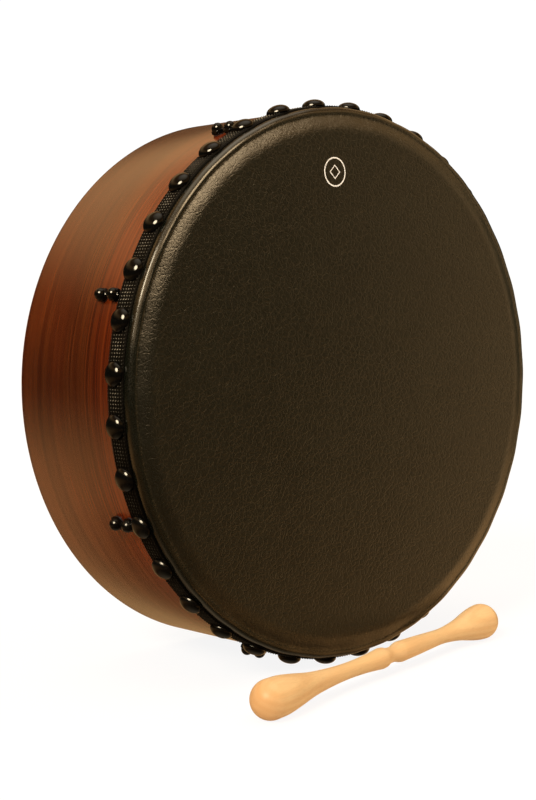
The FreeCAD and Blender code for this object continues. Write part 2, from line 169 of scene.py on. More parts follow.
def drum_place():
    """The matrix from the drum's own axes, in metres, to the row frame."""
    travel = [joint for joint in frame["joints"] if joint["name"] == "ring_travel"][0]
    forward = Vector(travel["axis"]).normalized()
    across = Vector((1, 0, 0))
    upward = across.cross(-forward)
    low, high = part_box("shell")
    origin = (low + high) / 2 + forward * (SHELL_DEPTH * MM / 2)
    place = Matrix((across, -forward, upward)).transposed().to_4x4()
    place.translation = origin
    return place


def tipper_place():
    """The matrix that lays the tipper down: X along it, 0 at its left end."""
    low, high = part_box("tipper")
    middle = (low + high) / 2
    turn = Matrix.Rotation(math.radians(TIPPER_TURN), 4, "Z")
    return Matrix.Translation(middle) @ turn @ Matrix.Translation((-TIPPER_LENGTH * MM / 2, 0, 0))


DRUM_PLACE = drum_place()
TIPPER_PLACE = tipper_place()


# ---------------------------------------------------------------- mesh helpers

def new_piece(name, points, faces, material, body, replaced, place=None, crease=40):
    """A mesh piece from points in millimetres, smooth but for edges sharper than crease."""
    mesh = bpy.data.meshes.new(name)
    mesh.from_pydata((np.asarray(points, float) * MM).tolist(), [], faces)
    mesh.validate()
    for polygon in mesh.polygons:
        polygon.use_smooth = True
    mesh.set_sharp_from_angle(angle=math.radians(crease))
    piece = bpy.data.objects.new(name, mesh)
    bpy.context.scene.collection.objects.link(piece)
    piece.matrix_world = DRUM_PLACE if place is None else place
    mesh.materials.append(material)
    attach(piece, body)
    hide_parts(*replaced)
    return piece


def arc(centre, radius, start, finish, steps):
    """Points on an arc, angles in degrees from the first axis."""
    angles = np.radians(np.linspace(start, finish, steps + 1))
    return [(centre[0] + radius * math.cos(a), centre[1] + radius * math.sin(a)) for a in angles]


def rounded_box(inner, outer, front, rear, radius):
    """A closed outline (radius, place) with its four corners rounded, the outer front one first."""
    return (arc((outer - radius, front + radius), radius, -90, 0, CORNER_STEPS)
            + arc((outer - radius, rear - radius), radius, 0, 90, CORNER_STEPS)
            + arc((inner + radius, rear - radius), radius, 90, 180, CORNER_STEPS)
            + arc((inner + radius, front + radius), radius, 180, 270, CORNER_STEPS))


def grid_faces(rows, columns, wrap_rows, wrap_columns, start=0):
    """Quads over a grid of points, wrapped round in either direction."""
    faces = []
    for row in range(rows if wrap_rows else rows - 1):
        below = start + row * columns
        above = start + ((row + 1) % rows) * columns
        for column in range(columns if wrap_columns else columns - 1):
            after = (column + 1) % columns
            faces.append((below + column, below + after, above + after, above + column))
    return faces


def drum_points(radius, place, angle):
    """Points about the drum's axis, from radius, place along Y and angle."""
    radius, place, angle = np.broadcast_arrays(radius, place, angle)
    points = np.stack([radius * np.cos(angle), place, radius * np.sin(angle)], -1)
    return points.reshape(-1, 3)


def ring_mesh(outline, count):
    """A closed outline (radius, place) carried round the drum's axis."""
    outline = np.asarray(outline, float)
    angle = np.linspace(0, TURN, count, endpoint=False)[:, None]
    points = drum_points(outline[None, :, 0], outline[None, :, 1], angle)
    return points, grid_faces(count, len(outline), True, True)


def disc_mesh(outline, count, ripple=None):
    """An outline whose two ends lie on the axis, carried round it, with a fan at each end."""
    outline = np.asarray(outline, float)
    first, last = outline[0], outline[-1]
    middle = outline[1:-1]
    angle = np.linspace(0, TURN, count, endpoint=False)[:, None]
    radius, place = middle[None, :, 0], middle[None, :, 1]
    if ripple is not None:
        radius, place = ripple(radius, place, angle)
    points = drum_points(radius, place, angle)
    width = len(middle)
    faces = grid_faces(count, width, True, False)
    start = len(points)
    points = np.vstack([points, [[0, first[1], 0], [0, last[1], 0]]])
    for row in range(count):
        after = (row + 1) % count
        faces.append((start, row * width, after * width))
        faces.append((start + 1, after * width + width - 1, row * width + width - 1))
    return points, faces


def repeat_mesh(points, faces, places):
    """One mesh that holds a copy of the points and faces at each 4x4 place (in millimetres)."""
    points = np.asarray(points, float)
    every_point, every_face = [], []
    for number, place in enumerate(places):
        turned = points @ np.array(place.to_3x3()).T + np.array(place.translation)
        every_point.append(turned)
        shift = number * len(points)
        every_face += [tuple(corner + shift for corner in face) for face in faces]
    return np.vstack(every_point), every_face


def outward(angle, radius, place):
    """The place of a fastener whose own X axis points out of the shell at an angle in degrees."""
    turn = Matrix.Rotation(-math.radians(angle), 4, "Y")
    return turn @ Matrix.Translation((radius, place, 0))


def station_angles():
    """The angle of each tuning station."""
    return [STATION_PHASE + 360 * step / STATIONS for step in range(STATIONS)]


# ---------------------------------------------------------------- material helpers

class Tree:
    """A short way to write a node tree."""

    def __init__(self, tree):
        self.tree = tree

    def add(self, kind, **settings):
        """A new node with its properties set."""
        node = self.tree.nodes.new(kind)
        for name, setting in settings.items():
            setattr(node, name, setting)
        return node

    def link(self, source, target):
        """Joins an output to an input."""
        self.tree.links.new(source, target)

    def put(self, socket, value):
        """Sets an input to a number, or links an output to it."""
        if isinstance(value, bpy.types.NodeSocket):
            self.link(value, socket)
        else:
            socket.default_value = value

    def parts(self, vector):
        """The three parts of a vector."""
        node = self.add("ShaderNodeSeparateXYZ")
        self.link(vector, node.inputs[0])
        return node.outputs

    def ramp(self, value, *stops):
        """Colours or greys at places from 0 to 1."""
        node = self.add("ShaderNodeValToRGB")
        self.link(value, node.inputs["Fac"])
        band = node.color_ramp
        while len(band.elements) < len(stops):
            band.elements.new(0.5)
        for element, (place, colour) in zip(band.elements, stops):
            element.position = place
            colour = colour if isinstance(colour, tuple) else (colour,) * 3
            element.color = (*colour, 1)
        return node.outputs["Color"]

    def span(self, value, low, high, to_low=0.0, to_high=1.0, kind="SMOOTHSTEP"):
        """A number carried from one range to another, and held there."""
        node = self.add("ShaderNodeMapRange", interpolation_type=kind)
        self.put(node.inputs["Value"], value)
        for socket, number in zip(("From Min", "From Max", "To Min", "To Max"),
                                  (low, high, to_low, to_high)):
            node.inputs[socket].default_value = number
        return node.outputs["Result"]

    def calc(self, operation, first, second=0.0, **settings):
        """One step of arithmetic."""
        node = self.add("ShaderNodeMath", operation=operation, **settings)
        self.put(node.inputs[0], first)
        self.put(node.inputs[1], second)
        return node.outputs[0]

    def scaled(self, vector, factor):
        """A vector or colour times a number."""
        node = self.add("ShaderNodeVectorMath", operation="SCALE")
        self.link(vector, node.inputs[0])
        self.put(node.inputs["Scale"], factor)
        return node.outputs[0]

    def two_shaders(self, factor, first, second):
        """Mixes two shaders."""
        node = self.add("ShaderNodeMixShader")
        self.put(node.inputs["Fac"], factor)
        self.link(first, node.inputs[1])
        self.link(second, node.inputs[2])
        return node.outputs["Shader"]


class Nodes(Tree):
    """A new material with its node tree, its shader and its texture coordinates."""

    def __init__(self, name, base, roughness, **uniform):
        self.material = bpy.data.materials.new(name)
        self.material.use_nodes = True
        super().__init__(self.material.node_tree)
        self.shader = self.tree.nodes["Principled BSDF"]
        self.shader.inputs["Base Color"].default_value = (*base, 1)
        self.shader.inputs["Roughness"].default_value = roughness
        for socket, number in uniform.items():
            self.shader.inputs[socket.replace("_", " ")].default_value = number
        self.texture = self.add("ShaderNodeTexCoord").outputs["Object"]

    def stretch(self, scale):
        """The texture coordinates times a scale for each axis."""
        node = self.add("ShaderNodeMapping")
        node.inputs["Scale"].default_value = scale
        self.link(self.texture, node.inputs["Vector"])
        return node.outputs["Vector"]

    def noise(self, vector, scale=1.0, detail=3.0, roughness=0.5, distortion=0.0):
        """Noise from 0 to 1."""
        node = self.add("ShaderNodeTexNoise")
        self.link(vector, node.inputs["Vector"])
        node.inputs["Scale"].default_value = scale
        node.inputs["Detail"].default_value = detail
        node.inputs["Roughness"].default_value = roughness
        node.inputs["Distortion"].default_value = distortion
        return node.outputs["Fac"]

    def cell_edges(self, vector, scale):
        """Distance to the nearest edge in a pattern of cells."""
        node = self.add("ShaderNodeTexVoronoi", feature="DISTANCE_TO_EDGE")
        self.link(vector, node.inputs["Vector"])
        node.inputs["Scale"].default_value = scale
        return node.outputs["Distance"]

    def mix(self, factor, first, second, blend="MIX"):
        """Mixes two colours."""
        node = self.add("ShaderNodeMix", data_type="RGBA", blend_type=blend)
        self.put(node.inputs[0], factor)
        for socket, value in ((node.inputs[6], first), (node.inputs[7], second)):
            self.put(socket, (*value, 1) if isinstance(value, tuple) else value)
        return node.outputs[2]

    def times(self, first, second):
        """One colour times another."""
        return self.mix(1.0, first, second, "MULTIPLY")

    def length(self, first, second):
        """The length of a line with these two parts."""
        return self.calc("SQRT", self.calc("ADD", self.calc("MULTIPLY", first, first),
                                           self.calc("MULTIPLY", second, second)))

    def far(self):
        """Distance from the drum's axis."""
        x, _, z = self.parts(self.texture)
        return self.length(x, z)

    def bump(self, height, strength, distance_mm, normal=None):
        """Adds relief to the shader's normal."""
        node = self.add("ShaderNodeBump")
        node.inputs["Strength"].default_value = strength
        node.inputs["Distance"].default_value = distance_mm * MM
        self.link(height, node.inputs["Height"])
        if normal is not None:
            self.link(normal, node.inputs["Normal"])
        self.link(node.outputs["Normal"], self.shader.inputs["Normal"])
        return node.outputs["Normal"]

    def colour(self, source):
        """Sets the base colour from a pattern."""
        self.link(source, self.shader.inputs["Base Color"])

    def roughness(self, source):
        """Sets the roughness from a pattern."""
        self.link(source, self.shader.inputs["Roughness"])


# ---------------------------------------------------------------- materials

def hoop_stain(nodes, bands):
    """Red-brown stain in bands, with broad lighter and darker stretches."""
    dark = (0.066, 0.0100, 0.0018)
    middle = (0.081, 0.0134, 0.0023)
    bright = (0.110, 0.0218, 0.0038)
    stain_and_shade = nodes.ramp(bands, (0.30, dark), (0.45, middle), (0.60, bright), (0.78, middle))
    broad = nodes.noise(nodes.stretch((3.2, 36, 3.2)), detail=3)
    tone = nodes.ramp(broad, (0.32, (0.82, 0.84, 0.84)), (0.5, (0.97, 0.97, 0.97)),
                      (0.68, (1.2, 1.12, 1.1)))
    return nodes.times(stain_and_shade, tone)


def hoop_changes(nodes, stain_and_shade):
    """Painted shade half way up and painted light above and below; near the head redder, grain
    lines stronger.
    """
    _, place, height = nodes.parts(nodes.texture)
    wander = nodes.noise(nodes.stretch((9, 9, 9)), detail=2)
    shift = nodes.calc("MULTIPLY", nodes.calc("SUBTRACT", wander, 0.5), 0.12)
    from_half_way = nodes.calc("ABSOLUTE", nodes.calc("ADD", height, shift))
    # Painted shade: the stain is darkened half way up, where less light falls, and made paler above
    # and below as painted light.
    stain_and_shade = nodes.times(stain_and_shade, nodes.span(from_half_way, 0.015, 0.085, 0.62, 1.08))
    uneven_place = nodes.calc("ADD", place, nodes.calc("MULTIPLY", wander, 0.03))
    away = nodes.span(uneven_place, 0.03, 0.07)
    stain_and_shade = nodes.mix(away, nodes.times(stain_and_shade, (1.5, 1.15, 0.9)), stain_and_shade)
    lines = nodes.noise(nodes.stretch((2.0, 560, 2.0)), detail=1.5, roughness=0.4)
    ridged = nodes.ramp(lines, (0.40, (0.78, 0.68, 0.65)), (0.50, (1.0, 1.0, 1.0)),
                        (0.60, (1.28, 1.35, 1.3)))
    plain = nodes.span(place, 0.035, 0.085, 0.0, 0.75)
    return nodes.mix(plain, nodes.times(stain_and_shade, ridged), stain_and_shade)


def hoop_wood():
    """Stained hoop wood, its grain running round the drum."""
    nodes = Nodes("hoop_wood", (0.1, 0.02, 0.005), 0.3, Specular_Tint=WARM, Coat_Weight=0.25,
                  Coat_Roughness=0.2)
    bands = nodes.noise(nodes.stretch((5, 210, 5)), detail=5, roughness=0.6, distortion=0.5)
    fibres = nodes.noise(nodes.stretch((45, 1500, 45)), detail=4, roughness=0.65)
    stain_and_shade = hoop_changes(nodes, hoop_stain(nodes, bands))
    nodes.colour(nodes.times(stain_and_shade, nodes.ramp(fibres, (0.3, 0.90), (0.6, 1.04))))
    nodes.roughness(nodes.span(fibres, 0.2, 0.8, 0.27, 0.23))
    nodes.bump(nodes.mix(0.5, bands, fibres), 0.03, 0.2)
    return nodes.material


def leather_relief(nodes):
    """Fine creases, their cells bent a little out of shape, and pores of a leather-like film."""
    soft = nodes.add("ShaderNodeTexNoise")
    nodes.link(nodes.texture, soft.inputs["Vector"])
    nodes.put(soft.inputs["Scale"], 120)
    bent = nodes.add("ShaderNodeVectorMath", operation="ADD")
    nodes.link(nodes.texture, bent.inputs[0])
    nodes.link(nodes.scaled(soft.outputs["Color"], 0.006), bent.inputs[1])
    creases = nodes.span(nodes.cell_edges(bent.outputs[0], 270), 0.0, 0.14)
    pores = nodes.noise(nodes.texture, 900, detail=5, roughness=0.7)
    return creases, pores


def pull_lines(nodes, far):
    """Short creases across the bevel, from the pull of the skin over the ring."""
    x, _, z = nodes.parts(nodes.texture)
    join = nodes.add("ShaderNodeCombineXYZ")
    nodes.put(join.inputs[0], nodes.calc("MULTIPLY", nodes.calc("ARCTAN2", x, z), 42))
    nodes.put(join.inputs[1], nodes.calc("MULTIPLY", far, 90))
    return nodes.noise(join.outputs[0], 4.6, detail=6, roughness=0.7, distortion=0.3)


def printed_mark(nodes):
    """1 on a plain printed ring with a small diamond in it, on the front of the face."""
    mark_x, mark_z = -12.7 * MM, 136.7 * MM
    ring_radius, line, diamond = 9.0 * MM, 0.45 * MM, 4.2 * MM
    x, y, z = nodes.parts(nodes.texture)
    across = nodes.calc("SUBTRACT", x, mark_x)
    upward = nodes.calc("SUBTRACT", z, mark_z)
    steps = nodes.calc("ADD", nodes.calc("ABSOLUTE", across), nodes.calc("ABSOLUTE", upward))
    lines = []
    for reach, radius in ((nodes.length(across, upward), ring_radius), (steps, diamond)):
        beside = nodes.calc("ABSOLUTE", nodes.calc("SUBTRACT", reach, radius))
        lines.append(nodes.calc("LESS_THAN", beside, line))
    front = nodes.calc("LESS_THAN", y, -(HEAD_RISE + FILM / 2) * MM)
    return nodes.calc("MULTIPLY", nodes.calc("MAXIMUM", *lines), front)


def head_film():
    """The black leather-like head, smooth on its bead, with a small plain printed mark."""
    nodes = Nodes("head_film", (0.006, 0.005, 0.003), 0.36, Specular_Tint=WARM,
                  Specular_IOR_Level=0.7)
    creases, pores = leather_relief(nodes)
    clouds = nodes.noise(nodes.texture, 22, detail=4)
    skin = nodes.ramp(clouds, (0.35, (0.0020, 0.0025, 0.0014)), (0.65, (0.0032, 0.0036, 0.0020)))
    skin = nodes.times(skin, nodes.ramp(pores, (0.35, 0.7), (0.62, 1.3), (0.74, 2.4)))
    nodes.colour(nodes.mix(printed_mark(nodes), skin, (0.72, 0.70, 0.66)))
    far = nodes.far()
    grain = nodes.span(pores, 0.3, 0.75, 0.34, 0.26)
    polish = nodes.span(far, 172.0 * MM, 174.5 * MM, 0.0, -0.05)
    nodes.roughness(nodes.calc("ADD", grain, polish))
    taut = nodes.span(far, 173.5 * MM, 175.5 * MM)
    level = (0.5, 0.5, 0.5)
    relief = nodes.bump(nodes.mix(taut, creases, level), 0.40, 0.13)
    relief = nodes.bump(nodes.mix(taut, pores, level), 0.35, 0.25, relief)
    on_bevel = nodes.span(far, 156.0 * MM, 170.0 * MM)
    pull = nodes.calc("MULTIPLY", pull_lines(nodes, far), on_bevel)
    nodes.bump(nodes.mix(taut, pull, (0, 0, 0)), 0.40, 0.27, relief)
    return nodes.material


def nylon_webbing():
    """Black woven tape: painted sheen on its floats, painted shade in the gaps, painted light on
    the upper half.
    """
    nodes = Nodes("nylon_webbing", (0.02, 0.018, 0.015), 0.45, Specular_Tint=WARM,
                  Specular_IOR_Level=0.06)
    fibres = nodes.noise(nodes.stretch((1800, 3000, 1800)), detail=3)
    broad = nodes.noise(nodes.texture, 60, detail=3)
    # Painted sheen and shade: the raised floats are painted brownish-grey as a painted highlight,
    # the gaps between them near black as painted shade.
    sheen_on_floats = nodes.span(nodes.far(), (WEAVE_FLOOR + 0.55) * MM, (WEAVE_FLOOR + 0.90) * MM)
    shade = nodes.ramp(broad, (0.3, (0.20, 0.168, 0.117)), (0.7, (0.42, 0.354, 0.246)))
    shade = nodes.mix(sheen_on_floats, (0.004, 0.0033, 0.0022), shade)
    # Painted light and shade: the tape is painted paler on the upper half and darker low down, by
    # height alone.
    painted_light_above = nodes.span(nodes.parts(nodes.texture)[2], -0.06, 0.035, 0.12, 1.0)
    shade = nodes.times(shade, painted_light_above)
    nodes.colour(nodes.times(shade, nodes.ramp(fibres, (0.3, 0.7), (0.7, 1.3))))
    nodes.roughness(nodes.span(fibres, 0.3, 0.7, 0.60, 0.45))
    nodes.bump(fibres, 0.3, 0.05)
    return nodes.material


def black_gloss(name, dust):
    """Glossy black lacquer with a little dust in it, duller low down, where it gets knocked."""
    nodes = Nodes(name, (0.006, 0.005, 0.0045), 0.1, Specular_Tint=WARM, Specular_IOR_Level=0.16)
    specks = nodes.noise(nodes.texture, 1400, detail=3, roughness=0.7)
    clouds = nodes.noise(nodes.texture, 130, detail=3)
    nodes.colour(nodes.ramp(specks, (0.55, (0.0005, 0.0004, 0.0003)),
                            (0.85, (0.004, 0.0032, 0.0024))))
    low_wear = nodes.span(nodes.parts(nodes.texture)[2], -0.11, 0.01, 0.12, 0.0)
    smears = nodes.span(clouds, 0.3, 0.75, 0.06, 0.06 + 0.14 * dust)
    nodes.roughness(nodes.calc("ADD", low_wear, smears))
    nodes.bump(specks, 0.05 + 0.05 * dust, 0.02)
    return nodes.material


def satin_black(name):
    """Satin black paint over steel."""
    nodes = Nodes(name, (0.02, 0.02, 0.02), 0.42)
    grain = nodes.noise(nodes.texture, 1500, detail=3)
    clouds = nodes.noise(nodes.texture, 90, detail=3)
    nodes.colour(nodes.ramp(clouds, (0.3, (0.012, 0.012, 0.012)), (0.7, (0.030, 0.029, 0.028))))
    nodes.roughness(nodes.span(grain, 0.3, 0.7, 0.36, 0.52))
    nodes.bump(grain, 0.25, 0.04)
    return nodes.material


def steel(name, low, high, roughness):
    """Plated or blackened steel with fine marks."""
    nodes = Nodes(name, high, roughness, Metallic=1.0)
    marks = nodes.noise(nodes.stretch((500, 90, 500)), detail=4, roughness=0.65)
    clouds = nodes.noise(nodes.texture, 160, detail=3)
    nodes.colour(nodes.ramp(clouds, (0.3, low), (0.7, high)))
    nodes.roughness(nodes.span(marks, 0.3, 0.7, roughness, roughness + 0.18))
    nodes.bump(marks, 0.12, 0.03)
    return nodes.material


def ring_wood():
    """Pale plywood of the tuning ring."""
    nodes = Nodes("ring_wood", (0.45, 0.29, 0.15), 0.45, Coat_Weight=0.2, Coat_Roughness=0.3)
    bands = nodes.noise(nodes.stretch((10, 420, 10)), detail=4, distortion=0.3)
    fibres = nodes.noise(nodes.stretch((70, 1600, 70)), detail=4, roughness=0.65)
    plies = nodes.ramp(bands, (0.3, (0.30, 0.17, 0.08)), (0.55, (0.50, 0.32, 0.16)),
                       (0.8, (0.42, 0.25, 0.12)))
    nodes.colour(nodes.times(plies, nodes.ramp(fibres, (0.3, 0.78), (0.65, 1.06))))
    nodes.bump(fibres, 0.15, 0.15)
    return nodes.material


def growth_rings(nodes, y, z):
    """Growth rings round a centre beside the tipper, from 0 to 1."""
    centre_y, centre_z, radians_per_metre = -0.009, 0.019, 1350
    wander = nodes.noise(nodes.stretch((9, 40, 40)), detail=2)
    shift = nodes.calc("MULTIPLY", wander, 0.012)
    across = nodes.calc("ADD", nodes.calc("SUBTRACT", y, centre_y), shift)
    upward = nodes.calc("SUBTRACT", z, centre_z)
    turns = nodes.calc("MULTIPLY", nodes.length(across, upward), radians_per_metre)
    return nodes.span(nodes.calc("SINE", turns), -1, 1)


def tipper_wood():
    """Pale maple, turned, with growth rings and flecks, browner at its left end."""
    nodes = Nodes("tipper_wood", (0.8, 0.47, 0.2), 0.45, Specular_Tint=WARM, Coat_Weight=0.1,
                  Coat_Roughness=0.35)
    x, y, z = nodes.parts(nodes.texture)
    fibres = nodes.noise(nodes.stretch((70, 1500, 1500)), detail=4, roughness=0.65)
    flecks = nodes.noise(nodes.stretch((180, 900, 900)), detail=2)
    clouds = nodes.noise(nodes.stretch((16, 50, 50)), detail=3)
    rings = nodes.calc("MULTIPLY", growth_rings(nodes, y, z), 0.30)
    base = nodes.ramp(clouds, (0.3, (0.95, 0.60, 0.285)), (0.7, (1.0, 0.68, 0.335)))
    base = nodes.mix(rings, base, (0.86, 0.47, 0.18))
    base = nodes.times(base, nodes.ramp(fibres, (0.3, 0.94), (0.65, 1.03)))
    base = nodes.mix(nodes.span(flecks, 0.68, 0.8, 0.0, 0.35), base, (0.58, 0.27, 0.10))
    end = nodes.span(x, 0.0, 0.016, 0.6, 0.0)
    nodes.colour(nodes.mix(end, base, (0.62, 0.28, 0.085)))
    nodes.roughness(nodes.span(fibres, 0.3, 0.7, 0.5, 0.36))
    nodes.bump(fibres, 0.08, 0.1)
    return nodes.material


# ---------------------------------------------------------------- pieces

def make_shell(material):
    """The bent wooden hoop."""
    outline = rounded_box(SHELL_RADIUS - SHELL_WALL, SHELL_RADIUS, 0, SHELL_DEPTH, EDGE_ROUND)
    front_corner = (SHELL_RADIUS - BEARING_ROUND, BEARING_ROUND)
    outline = arc(front_corner, BEARING_ROUND, -90, 0, 8) + outline[CORNER_STEPS + 1:]
    points, faces = ring_mesh(outline, 480)
    return new_piece("hoop", points, faces, material, "drum", ["shell"])


def head_outline():
    """The head's section: face, bevel, groove, bead over the rim and skirt, out and back again."""
    face = -HEAD_RISE - FILM
    centre = (SHELL_RADIUS + FILM - BEAD_ROUND, BEAD_PLACE)
    bead = arc(centre, BEAD_ROUND, BEAD_START, 0, 16)
    run = bead[0][0] - BEVEL_SHORT - BEVEL_START
    rise = bead[0][1] - face
    outer = [(radius, face) for radius in (0, 60, 120, 155, FACE_END)]
    for part in np.linspace(0, 1, 9):
        outer.append((BEVEL_START + part * run, face + rise * part ** BEVEL_CURVE))
    skirt = [(SHELL_RADIUS + FILM, SKIRT_END), (SHELL_RADIUS + FILM_GAP, SKIRT_END)]
    inner = arc(centre, BEAD_ROUND - FILM + FILM_GAP, 0, BEAD_START, 10)
    for part in np.linspace(0.95, 0.2, 5):
        inner.append((BEVEL_START + part * run, face + FILM + rise * part ** BEVEL_CURVE))
    inner += [(FACE_END, face + FILM), (0, face + FILM)]
    return outer + bead + skirt + inner


def make_head(material):
    """The film head, with the tacks' faint pulls and a groove beside one arc of its bead."""
    def ripple(radius, place, angle):
        pull = np.cos(TACKS * (angle - math.radians(TACK_PHASE)))
        reach = np.clip((radius - 164) / 10, 0, 1) * np.clip((8 - place) / 6, 0, 1)
        wave = np.sin(7 * angle + 1.3) + 0.6 * np.sin(17 * angle + 0.4)
        groove = np.exp(-((radius - GROOVE_RADIUS) / GROOVE_WIDTH) ** 2) * (place < 0.5)
        past_arc = np.abs(np.degrees(angle) - GROOVE_MIDDLE) - GROOVE_HALF_ARC
        filled = GROOVE_FILL * groove * np.clip(past_arc / GROOVE_FADE, 0, 1)
        lift = TACK_PULL * reach * pull + SKIN_WAVE * reach * wave - filled
        return radius - TACK_PULL * reach * (1 + pull), place + lift
    points, faces = disc_mesh(head_outline(), 432, ripple)
    piece = new_piece("head_skin", points, faces, material, "drum", ["drumhead"],
                      crease=60)
    return piece


def weave_height(row, column):
    """Height of the webbing's floats, from 0 to 1: two sets of dots, one between the other."""
    lean = 0.45 * np.sin(math.pi * row)
    main = np.cos(math.pi * row) ** 2 * np.abs(np.sin(math.pi * (column + lean))) ** 3
    other = np.sin(math.pi * row) ** 2 * np.cos(math.pi * (column - lean)) ** 2
    return np.maximum(main, 0.4 * other)


def make_webbing(material):
    """The woven tape, with its floats modelled, pulled down a little at each tack."""
    around = WEAVE_ROWS * ROW_STEPS
    across = WEAVE_COLUMNS * COLUMN_STEPS
    angle = np.linspace(0, TURN, around, endpoint=False)[:, None]
    row = angle / TURN * WEAVE_ROWS
    column = np.linspace(0, WEAVE_COLUMNS, across + 1)[None, :]
    height = weave_height(row, column)
    edge = np.clip(np.minimum(column, WEAVE_COLUMNS - column) / 0.5, 0, 1)
    selvedge = np.clip(1 - np.abs(column - 0.35) / 0.4, 0, 1) * np.cos(math.pi * row) ** 2
    height = np.maximum(height * (0.4 + 0.6 * edge), 1.15 * selvedge)
    between = 0.5 - 0.5 * np.cos(TACKS * (angle - math.radians(TACK_PHASE)))
    drift = 0.22 * np.sin(5 * angle + 0.7) + 0.13 * np.sin(23 * angle) - 0.18 * between
    crown = 0.3 * between * np.sin(math.pi * column / WEAVE_COLUMNS)
    outer_radius = WEAVE_FLOOR + WEAVE_HEIGHT * height + crown + EDGE_DROP * edge - EDGE_DROP
    front = WEBBING_FRONT + WEBBING_INSET
    width = WEBBING_WIDTH - 2 * WEBBING_INSET
    place = front + width * column / WEAVE_COLUMNS + drift
    inner = np.array([[width, 0.0]]) + front + drift
    inner_radius = SHELL_RADIUS + FILM + WEBBING_GAP
    radius = np.hstack([outer_radius, np.full((around, 2), inner_radius)])
    points = drum_points(radius, np.hstack([place, inner]), angle)
    faces = grid_faces(around, across + 3, True, True)
    piece = new_piece("woven_tape", points, faces, material, "drum", ["webbing"],
                      crease=75)
    return piece


def tack_section():
    """A tack's section (place along its own axis, radius): domed head, thin rim and nail."""
    angles = np.radians(np.linspace(0, 84, 17))
    dome = [(TACK_DOME * math.cos(a), TACK_RADIUS * math.sin(a)) for a in angles]
    rim = [(0.15, TACK_RADIUS), (-0.1, TACK_RADIUS - 0.03), (-0.28, TACK_RADIUS - 0.25),
           (-0.2, TACK_RADIUS - 0.8), (0.35, NAIL_RADIUS), (-NAIL_LENGTH, NAIL_RADIUS),
           (-NAIL_TIP, 0)]
    return dome + rim


def turned_mesh(section, count):
    """A section (place along X, radius) with both ends on the axis, turned about X."""
    swapped = [(radius, along) for along, radius in section]
    points, faces = disc_mesh(swapped, count)
    return points[:, [1, 0, 2]], [tuple(reversed(face)) for face in faces]


def make_tacks(material):
    """The domed tacks, each hammered in a little out of place, at its own slight tilt."""
    points, faces = turned_mesh(tack_section(), 48)
    seat = SHELL_RADIUS + FILM + WEBBING_THICK - TACK_SINK
    places = []
    for step in range(TACKS):
        tilt = random.normal(0, TACK_TILT, 2)
        slip = random.normal(0, TACK_SLIP, 2)
        angle = TACK_PHASE + 360 * step / TACKS + math.degrees(slip[0] / seat)
        place = outward(angle, seat, TACK_BACK + slip[1])
        place = place @ Matrix.Rotation(math.radians(tilt[0]), 4, "Y")
        places.append(place @ Matrix.Rotation(math.radians(tilt[1]), 4, "Z"))
    points, faces = repeat_mesh(points, faces, places)
    return new_piece("domed_tacks", points, faces, material, "drum", ["tacks"])


def nut_mesh():
    """A domed cap nut: chamfered hexagon, short neck and round dome, along X."""
    count = 72
    angle = np.linspace(0, TURN, count, endpoint=False)
    flat = NUT_CORNER * math.cos(math.pi / 6)
    side = flat / np.cos((angle + math.pi / 6) % (math.pi / 3) - math.pi / 6)
    levels = [(0, 4.2), (0.25, NUT_CORNER), (NUT_HEXAGON - 0.45, NUT_CORNER),
              (NUT_HEXAGON - 0.08, 4.1), (NUT_HEXAGON, NUT_DOME + 0.05)]
    rows = [(along, np.minimum(side, limit)) for along, limit in levels]
    for lift in np.radians(np.linspace(3, 84, 13)):
        along = NUT_HEXAGON + NUT_DOME * math.sin(lift)
        rows.append((along, np.full(count, NUT_DOME * math.cos(lift))))
    points = []
    for along, radius in rows:
        points += [(along, r * math.cos(a), r * math.sin(a)) for r, a in zip(radius, angle)]
    faces = grid_faces(len(rows), count, False, True)
    top = len(points)
    points += [(NUT_HEXAGON + NUT_DOME, 0, 0), (0, 0, 0)]
    last = (len(rows) - 1) * count
    for step in range(count):
        after = (step + 1) % count
        faces.append((last + step, last + after, top))
        faces.append((after, step, top + 1))
    return points, faces


def make_cap_nuts(material):
    """Two cap nuts a station, each stopped at its own angle, flats beside the webbing."""
    points, faces = nut_mesh()
    places = []
    for angle in station_angles():
        for row in SCREW_ROWS:
            spin = Matrix.Rotation(math.radians(30 + random.normal(0, NUT_SPIN)), 4, "X")
            places.append(outward(angle, SHELL_RADIUS + WASHER_THICK, row) @ spin)
    points, faces = repeat_mesh(points, faces, places)
    return new_piece("domed_nuts", points, faces, material, "drum", ["cap_nuts"],
                     crease=28)


def make_tuning_ring(material):
    """The inner hoop that lifts the head."""
    outline = rounded_box(RING_RADIUS - RING_WIDTH, RING_RADIUS, -HEAD_RISE,
                          RING_DEPTH - HEAD_RISE, EDGE_ROUND)
    points, faces = ring_mesh(outline, 360)
    return new_piece("inner_ring", points, faces, material, "ring", ["tuning_ring"])


def tipper_section():
    """The tipper's section: round ends, slim necks and a cove at its waist."""
    ball, length = TIPPER_BALL, TIPPER_LENGTH
    angles = np.radians(np.linspace(0, 90, 16))
    left = [(ball - ball * math.cos(a), ball * math.sin(a)) for a in angles]
    right = [(length - x, radius) for x, radius in reversed(left)]
    left_neck = [(ball, ball), (22.5, 12.0), (34, 10.4), (51, 7.6), (69, 5.95), (88, 5.15),
                 (109, 5.55), (126.5, 6.85)]
    cove = [(129.5, 6.55), (133, 5.45), (136, 5.12), (139, 5.05), (142, 5.3), (145.5, 6.35)]
    right_neck = [(148.5, 6.85), (169, 6.25), (182, 5.75), (200, 5.3), (221.5, 7.4), (239, 10.8),
                  (length - 18, 11.9), (length - ball, ball)]
    return left[:-1] + smooth_run(left_neck) + cove + smooth_run(right_neck) + right[1:]


